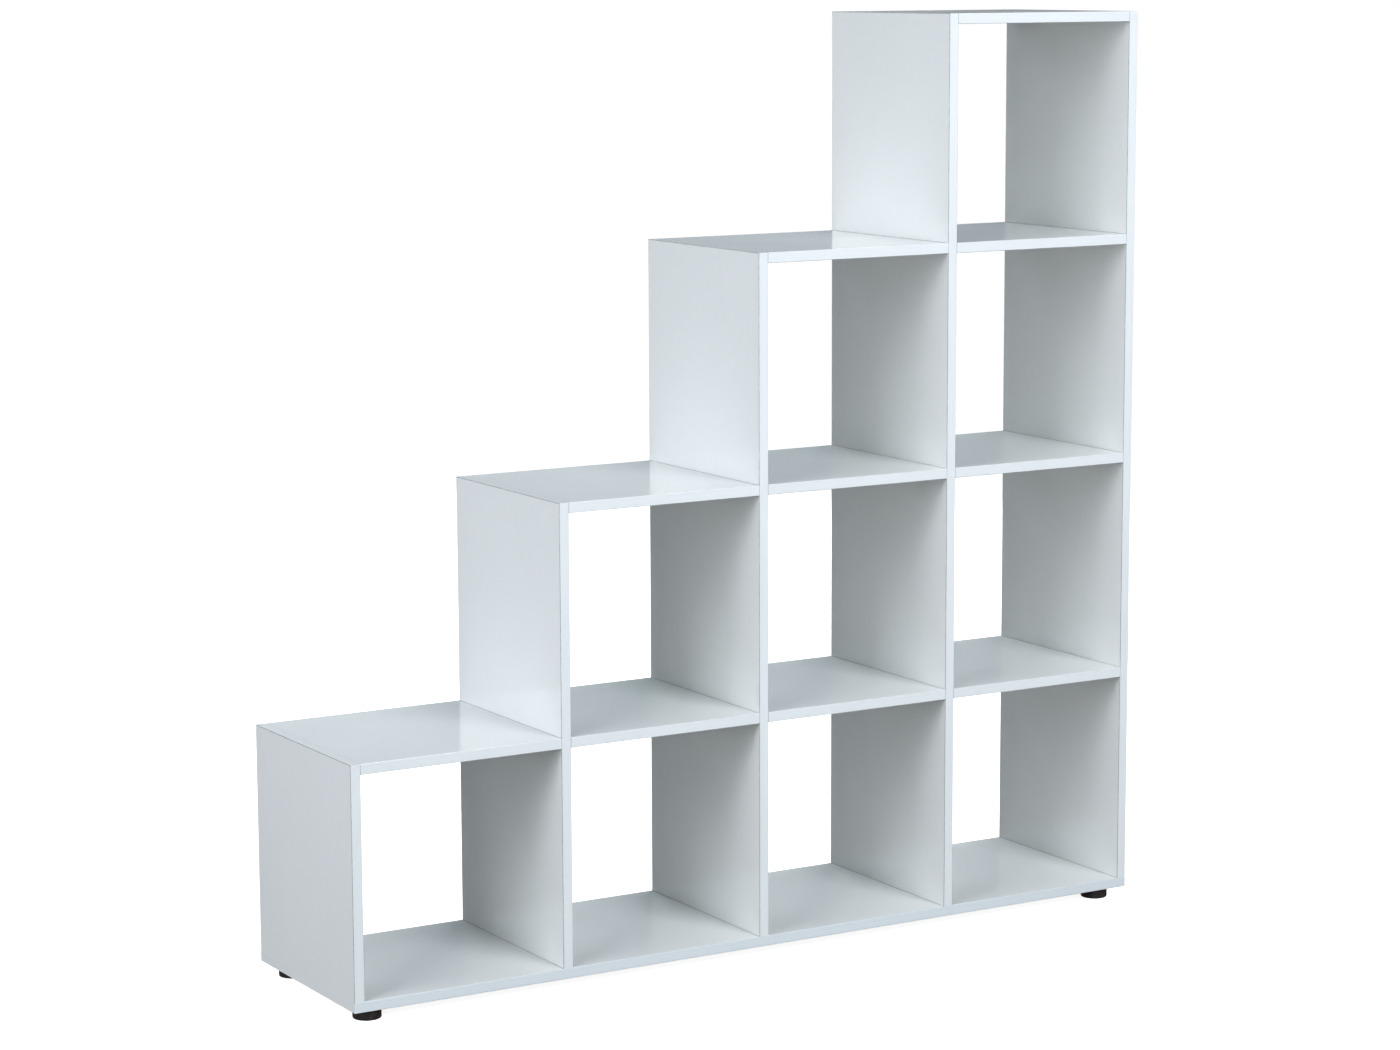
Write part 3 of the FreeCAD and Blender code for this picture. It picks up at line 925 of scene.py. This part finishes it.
@dataclass
class Fittings(SubAssembly):
    """The cam locks, bolts, dowels and base screws that hold the boards together."""

    carcass: Carcass = field(default_factory=Carcass)
    cam_setback: float = 24.0 * MM
    cam_inset: float = 69.0 * MM
    arrow_heel: float = 5.1 * MM
    arrow_tip: float = 6.8 * MM
    arrow_width: float = 2.6 * MM
    arrow_rise: float = 0.25 * MM
    arrow_root: float = 0.05 * MM
    arrow_draft: float = 0.7

    def build(self) -> None:
        """Casts an arrow on each cam lock's face, which points to the bolt that the lock pulls in."""
        shape = bmesh.new()
        for place, way in self.locks():
            self.arrow(shape, place, way)
        bmesh.ops.recalc_face_normals(shape, faces=shape.faces)
        self.keep("cam_lock_arrows", shape, "cast_zinc")

    def locks(self) -> list[tuple[Vector, float]]:
        """Finds the cam locks in the undersides of the shelves.

        Returns:
            The middle of each lock's face, with the way to its bolt along X as 1 or -1.
        """
        reach = self.carcass.depth / 2 - self.cam_inset
        places = []
        for column, row in self.carcass.shelf_places():
            left = self.carcass.bay_left(column)
            right = left + self.carcass.bay_width
            under = self.carcass.shelf_under(row)
            for x, way in ((left + self.cam_setback, -1.0), (right - self.cam_setback, 1.0)):
                places += [(Vector((x, y, under)), way) for y in (-reach, reach)]
        return places

    def arrow(self, shape: bmesh.types.BMesh, place: Vector, way: float) -> None:
        """Adds one raised arrow head with sloped sides.

        Args:
            shape: the shape that it is added to.
            place: the middle of the cam lock's face.
            way: the way that it points along X, as 1 or -1.
        """
        half = self.arrow_width / 2
        outline = ((self.arrow_tip, 0.0), (self.arrow_heel, half), (self.arrow_heel, -half))
        middle = sum(x for x, _ in outline) / len(outline)
        rings = []
        for share, height in ((1.0, self.arrow_root), (self.arrow_draft, -self.arrow_rise)):
            corners = [
                Vector((way * (middle + share * (x - middle)), share * y, height))
                for x, y in outline
            ]
            rings.append([shape.verts.new(place + corner) for corner in corners])
        root, top = rings
        shape.faces.new(root)
        shape.faces.new(top)
        for i, corner in enumerate(root):
            after = (i + 1) % len(root)
            shape.faces.new((corner, root[after], top[after], top[i]))

    def finishes(self) -> dict[str, Finish]:
        """Chooses the fittings' finishes.

        Returns:
            The finish of each group of fittings by its name.
        """
        zinc = CastZinc("cast_zinc")
        steel = PlatedSteel("zinc_plated_steel")
        lying = BeechDowel("beech_lying", Axis.X)
        standing = BeechDowel("beech_standing", Axis.Z)
        rows = range(1, self.steps + 1)
        fittings: dict[str, Finish] = {f"cam_locks_row{row}": zinc for row in rows}
        fittings["cam_lock_arrows"] = zinc
        fittings |= {name: steel for name in ("end_cam_bolts", "through_cam_bolts", "base_screws")}
        fittings |= {"through_dowels": lying, "end_dowels": lying, "base_dowels": standing}
        return fittings


@dataclass(frozen=True)
class PhotoCamera:
    """A camera at the photograph's place and angle, with no lens shift and everything in focus.

    The place is in metres, the turns in radians, the focal length and the frame's width in the
    photograph's pixels, and the sensor in millimetres.
    """

    place: Point = (-2.82216, -4.71188, 1.507)
    yaw: float = 0.53749
    pitch: float = 0.15454
    roll: float = -0.00378
    focal: float = 3594.101
    frame_width: float = 1400.0
    sensor: float = 36.0
    far: float = 300.0

    def build(self) -> None:
        """Makes the camera and hands it to the scene."""
        lens = bpy.data.cameras.new("photo_camera")
        lens.sensor_width = self.sensor
        lens.lens = self.focal / self.frame_width * self.sensor
        lens.clip_end = self.far
        camera = bpy.data.objects.new("photo_camera", lens)
        camera.matrix_world = Matrix.Translation(self.place) @ self.turn().to_4x4()
        bpy.context.scene.collection.objects.link(camera)
        bpy.context.scene.camera = camera
        log.info("camera: %.1f mm at %s", lens.lens, self.place)

    def turn(self) -> Matrix:
        """Works out the camera's turn from its yaw to the right, its pitch down and its roll.

        Returns:
            The turn.
        """
        ahead = Vector((
            math.sin(self.yaw) * math.cos(self.pitch),
            math.cos(self.yaw) * math.cos(self.pitch),
            -math.sin(self.pitch),
        ))
        level = Vector((math.cos(self.yaw), -math.sin(self.yaw), 0.0))
        upward = level.cross(ahead)
        right = math.cos(self.roll) * level + math.sin(self.roll) * upward
        up = math.cos(self.roll) * upward - math.sin(self.roll) * level
        return Matrix((right, up, -ahead)).transposed()


@dataclass(frozen=True)
class SoftBox:
    """A rectangular studio light with a diffuser, in metres and watts."""

    name: str
    place: Point
    aim: Point
    width: float
    height: float
    power: float
    tint: Tone = PURE_WHITE
    mirrored: bool = True

    def build(self) -> None:
        """Makes the light and turns it to what it lights."""
        lamp = bpy.data.lights.new(self.name, "AREA")
        lamp.shape = "RECTANGLE"
        lamp.size = self.width
        lamp.size_y = self.height
        lamp.energy = self.power
        lamp.color = self.tint
        light = bpy.data.objects.new(self.name, lamp)
        ahead = Vector(self.aim) - Vector(self.place)
        light.rotation_euler = ahead.to_track_quat("-Z", "Y").to_euler()
        light.location = self.place
        light.visible_camera = False
        light.visible_glossy = self.mirrored
        bpy.context.scene.collection.objects.link(light)
        log.info("light: %s", self.name)


@dataclass(frozen=True)
class Surroundings:
    """The studio's walls and ceiling as the boards mirror them, by height in degrees.

    Behind is the half of the studio beyond the bookshelf, and ahead the half in front of it.
    """

    behind: Stops
    ahead: Stops
    turnover: float = 0.35

    def build(self) -> None:
        """Makes the world that lights the scene."""
        world = bpy.data.worlds.new("studio")
        world.use_nodes = True
        graph = Graph(world.node_tree)
        way = graph.add("ShaderNodeTexCoord").outputs["Generated"]
        height = graph.between(graph.part(way, Axis.Z), Span(-1.0, 1.0), slope=Slope.STRAIGHT)
        side = graph.between(graph.part(way, Axis.Y), Span(-self.turnover, self.turnover))
        ahead, behind = (self.ramp(graph, height, stops) for stops in (self.ahead, self.behind))
        light = graph.add("ShaderNodeBackground")
        graph.feed(light.inputs["Color"], graph.blend(side, ahead, behind))
        end = graph.add("ShaderNodeOutputWorld")
        graph.feed(end.inputs["Surface"], light.outputs["Background"])
        bpy.context.scene.world = world
        log.info("surroundings: %d heights behind, %d ahead", len(self.behind), len(self.ahead))

    @staticmethod
    def ramp(graph: Graph, height: Socket, stops: Stops) -> Socket:
        """Makes a ramp of tones over the height.

        Args:
            graph: the world's nodes.
            height: the sine of the height, mapped to run from 0 to 1.
            stops: each height in degrees with its tone, from the lowest.

        Returns:
            The tone.
        """
        node = graph.add("ShaderNodeValToRGB")
        elements = node.color_ramp.elements
        while len(elements) < len(stops):
            elements.new(0.5)
        for element, (degrees, tone) in zip(elements, stops):
            element.position = (math.sin(math.radians(degrees)) + 1.0) / 2.0
            element.color = (*tone, 1.0)
        graph.feed(node.inputs["Fac"], height)
        return node.outputs["Color"]


@dataclass
class Studio:
    """The pale floor, the white backdrop and the lights, none of them part of the bookshelf."""

    boxes: tuple[SoftBox, ...]
    surroundings: Surroundings
    floor_radius: float = 60.0
    floor_rim: int = 96
    floor_white: Tone = (0.84, 0.84, 0.84)
    floor_white_low: Tone = (0.80, 0.80, 0.80)
    floor_patch: Grain = Grain(3.0, 3.0)
    floor_dull_span: Span = Span(0.2, 0.8)
    floor_dull: Span = Span(0.85, 0.95)
    glow_span: Span = Span(1.5, 6.0)
    glow: Span = Span(0.86, 1.0)
    backdrop_radius: float = 58.0
    backdrop_rings: int = 24
    backdrop_rim: int = 48

    def build(self) -> None:
        """Makes the floor, the backdrop, the lights and what the boards mirror."""
        self.floor()
        self.backdrop()
        for box in self.boxes:
            box.build()
        self.surroundings.build()
        settings = bpy.context.scene.view_settings
        settings.view_transform = "Standard"
        settings.look = "None"

    @staticmethod
    def circle(radius: float, height: float, count: int) -> list[Point]:
        """Places points round a level circle about the origin.

        Args:
            radius: the circle's radius.
            height: its height.
            count: how many points it has.

        Returns:
            The points.
        """
        turns = [math.tau * i / count for i in range(count)]
        return [(radius * math.cos(turn), radius * math.sin(turn), height) for turn in turns]

    def floor(self) -> None:
        """Lays the floor, which shows only the shade under the bookshelf."""
        mesh = bpy.data.meshes.new("floor")
        corners = self.circle(self.floor_radius, 0.0, self.floor_rim)
        mesh.from_pydata(corners, [], [list(range(self.floor_rim))])
        sheet = Sheet("floor_paint")
        point = sheet.place(own=0.0)
        patch = sheet.noise(point, self.floor_patch)
        sheet.set(
            Base_Color=sheet.blend(patch, self.floor_white_low, self.floor_white),
            Roughness=sheet.between(patch, self.floor_dull_span, self.floor_dull),
            Specular_IOR_Level=0.0,
            Emission_Color=PURE_WHITE,
            Emission_Strength=sheet.between(sheet.length(point), self.glow_span, self.glow),
        )
        self.show("floor", mesh, sheet.material)

    def backdrop(self) -> None:
        """Hangs a white dome round everything, which only the camera sees."""
        rings, rim, radius = self.backdrop_rings, self.backdrop_rim, self.backdrop_radius
        corners = []
        for ring in range(rings + 1):
            lift = math.pi * (ring / rings - 0.5)
            corners += self.circle(radius * math.cos(lift), radius * math.sin(lift), rim)
        faces = []
        for ring in range(rings):
            low, high = ring * rim, (ring + 1) * rim
            for i in range(rim):
                after = (i + 1) % rim
                faces.append((low + i, low + after, high + after, high + i))
        mesh = bpy.data.meshes.new("backdrop")
        mesh.from_pydata(corners, [], faces)
        material = bpy.data.materials.new("backdrop_white")
        material.use_nodes = True
        graph = Graph(material.node_tree)
        glow = graph.add("ShaderNodeEmission")
        end = graph.add("ShaderNodeOutputMaterial")
        graph.feed(end.inputs["Surface"], glow.outputs["Emission"])
        self.show("backdrop", mesh, material)

    @staticmethod
    def show(name: str, mesh: bpy.types.Mesh, material: bpy.types.Material) -> None:
        """Puts a stage piece in the scene, seen by the camera alone.

        Args:
            name: the piece's name.
            mesh: its mesh.
            material: its paint.
        """
        mesh.materials.append(material)
        piece = bpy.data.objects.new(name, mesh)
        for ray in ("diffuse", "glossy", "transmission", "volume_scatter", "shadow"):
            setattr(piece, f"visible_{ray}", False)
        bpy.context.scene.collection.objects.link(piece)
        log.info("stage: %s", name)


DIM: Tone = (0.030, 0.030, 0.030)
BEHIND: Stops = (
    (-90.0, DIM),
    (-20.0, DIM),
    (-1.2, (0.280, 0.304, 0.294)),
    (-0.3, (0.030, 0.028, 0.026)),
    (1.3, (0.010, 0.009, 0.009)),
    (2.2, (0.259, 0.288, 0.292)),
    (4.3, (0.191, 0.240, 0.288)),
    (8.6, (0.237, 0.299, 0.329)),
    (12.8, (0.098, 0.170, 0.225)),
    (25.0, DIM),
    (90.0, DIM),
)
AHEAD: Stops = (
    (-90.0, (0.139, 0.143, 0.138)),
    (-20.0, (0.115, 0.121, 0.119)),
    (0.0, (0.083, 0.075, 0.070)),
    (20.0, (0.048, 0.045, 0.042)),
    (45.0, (0.025, 0.024, 0.026)),
    (90.0, (0.010, 0.007, 0.011)),
)
MIDDLE: Point = (0.0, 0.0, 0.7)
BOXES: tuple[SoftBox, ...] = (
    SoftBox("front_box", (0.5, -2.1, 2.2), (0.1, 0.0, 0.8), 1.6, 1.0, 6.0),
    SoftBox("front_far", (0.9, -4.3, 2.7), (0.1, 0.0, 0.7), 2.0, 1.2, 135.0, (0.894, 0.956, 1.0)),
    SoftBox("front_fill", (0.0, -3.6, 0.7), (0.1, 0.0, 0.6), 2.0, 1.0, 26.5, (0.893, 0.954, 1.0)),
    SoftBox("side_low", (-4.433, -2.067, 1.740), MIDDLE, 1.8, 1.8, 43.5, (0.879, 0.968, 1.0)),
    SoftBox("side_middle", (-3.843, -1.792, 3.350), MIDDLE, 1.8, 1.8, 67.5, (0.912, 0.952, 1.0)),
    SoftBox("side_rear", (-4.872, -0.426, 1.740), MIDDLE, 1.8, 1.8, 86.8, (0.896, 0.935, 1.0)),
    SoftBox("rear_box", (0.0, 2.6, 2.8), (0.0, 0.0, 0.6), 2.4, 1.2, 31.5, (0.814, 0.962, 1.0)),
    SoftBox("rear_fill", (3.2, 3.2, 1.4), (0.1, 0.0, 0.7), 2.0, 1.8, 80.0, (1.0, 0.970, 0.950), False),
    SoftBox("right_box", (4.4, 0.9, 1.5), (0.6, 0.0, 0.7), 1.8, 1.8, 95.0, (0.967, 0.993, 1.0), False),
    SoftBox("top_box", (0.55, 0.05, 3.3), (0.45, 0.0, 0.7), 1.2, 1.2, 20.0, PURE_WHITE, False),
)


def main() -> None:
    """Builds the studio, the camera and each sub-assembly in order."""
    logging.basicConfig(level=logging.INFO, format="%(name)s: %(message)s")
    PhotoCamera().build()
    Studio(BOXES, Surroundings(BEHIND, AHEAD)).build()
    carcass = Carcass()
    for group in (carcass, Edging(carcass=carcass), Feet(), Fittings(carcass=carcass)):
        group.build()
        group.dress()


if __name__ == "__main__":
    main()
